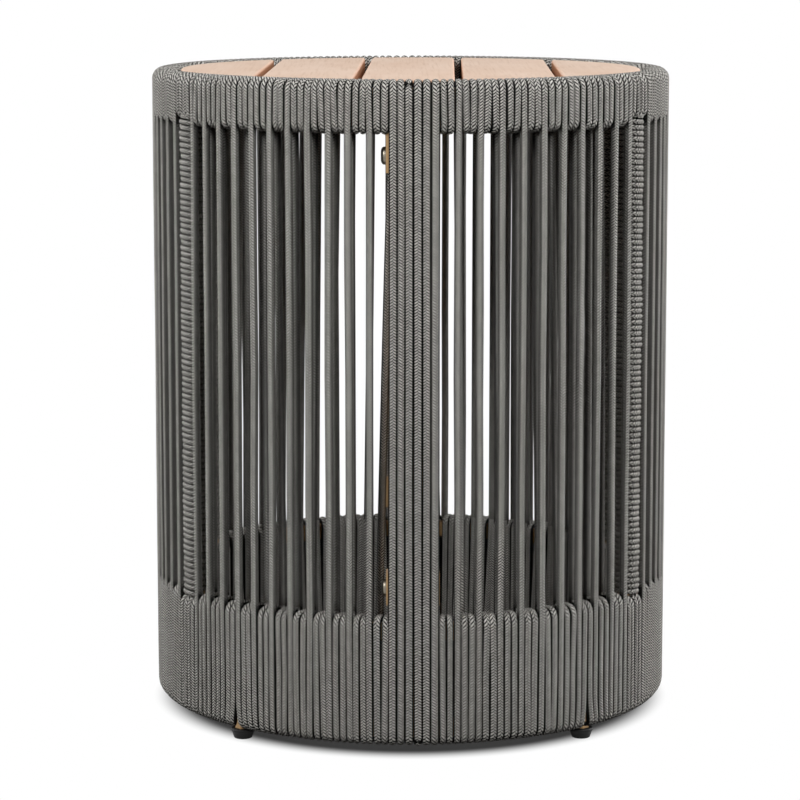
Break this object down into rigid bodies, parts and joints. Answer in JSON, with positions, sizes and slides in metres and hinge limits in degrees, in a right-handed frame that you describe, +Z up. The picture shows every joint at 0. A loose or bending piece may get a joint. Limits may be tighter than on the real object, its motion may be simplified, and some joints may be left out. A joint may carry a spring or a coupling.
{
  "type": "outdoor side table",
  "caption": "Round drum side table of cord wound on a bolted metal frame, with a slatted wooden top and screw-in levelling feet.",
  "frame": {"origin": "on the floor under the middle of the drum", "axes": "+Z up from the floor to the slatted top, -Y towards the front seam, +X to the right"},
  "size_m": [0.4, 0.4, 0.496],
  "materials": {
    "taupe_cord": "braided outdoor cord",
    "teak_slats": "sanded, pale, unvarnished",
    "teak_battens": "sawn, unvarnished",
    "champagne_frame": "powder coated, satin",
    "steel_fasteners": "stainless, bright",
    "foot_plastic": "black, moulded"
  },
  "bodies": {
    "table": {"centre_slat": "teak_slats", "far_left_slat": "teak_slats", "far_right_slat": "teak_slats", "front_batten": "teak_battens", "front_joining_bolts": "steel_fasteners", "front_left_end_post": "champagne_frame", "front_left_side_post": "champagne_frame", "front_left_whipping": "taupe_cord", "front_right_end_post": "champagne_frame", "front_right_side_post": "champagne_frame", "front_right_whipping": "taupe_cord", "front_seam_cords": "taupe_cord", "front_threaded_inserts": "steel_fasteners", "left_base_wrap": "taupe_cord", "left_bottom_rail": "champagne_frame", "left_foot_bosses": "champagne_frame", "left_inner_strands": "taupe_cord", "left_mid_rail": "champagne_frame", "left_outer_strands": "taupe_cord", "left_rim_wrap": "taupe_cord", "left_slat": "teak_slats", "left_stub_posts": "champagne_frame", "left_support_tabs": "champagne_frame", "left_top_rail": "champagne_frame", "rear_batten": "teak_battens", "rear_joining_bolts": "steel_fasteners", "rear_left_end_post": "champagne_frame", "rear_left_side_post": "champagne_frame", "rear_left_whipping": "taupe_cord", "rear_right_end_post": "champagne_frame", "rear_right_side_post": "champagne_frame", "rear_right_whipping": "taupe_cord", "rear_seam_cords": "taupe_cord", "rear_threaded_inserts": "steel_fasteners", "right_base_wrap": "taupe_cord", "right_bottom_rail": "champagne_frame", "right_foot_bosses": "champagne_frame", "right_inner_strands": "taupe_cord", "right_mid_rail": "champagne_frame", "right_outer_strands": "taupe_cord", "right_rim_wrap": "taupe_cord", "right_slat": "teak_slats", "right_stub_posts": "champagne_frame", "right_support_tabs": "champagne_frame", "right_top_rail": "champagne_frame", "slat_screws": "steel_fasteners", "top_fixing_screws": "steel_fasteners"},
    "front_left_foot": {"front_left_foot_pad": "foot_plastic", "front_left_foot_stud": "steel_fasteners"},
    "front_right_foot": {"front_right_foot_pad": "foot_plastic", "front_right_foot_stud": "steel_fasteners"},
    "rear_left_foot": {"rear_left_foot_pad": "foot_plastic", "rear_left_foot_stud": "steel_fasteners"},
    "rear_right_foot": {"rear_right_foot_pad": "foot_plastic", "rear_right_foot_stud": "steel_fasteners"}
  },
  "joints": [
    {"name": "front_left_foot_level", "type": "slide", "parent": "table", "child": "front_left_foot", "axis": [0, 0, -1], "range_m": [0, 0.006]},
    {"name": "front_right_foot_level", "type": "slide", "parent": "table", "child": "front_right_foot", "axis": [0, 0, -1], "range_m": [0, 0.006]},
    {"name": "rear_left_foot_level", "type": "slide", "parent": "table", "child": "rear_left_foot", "axis": [0, 0, -1], "range_m": [0, 0.006]},
    {"name": "rear_right_foot_level", "type": "slide", "parent": "table", "child": "rear_right_foot", "axis": [0, 0, -1], "range_m": [0, 0.006]}
  ]
}
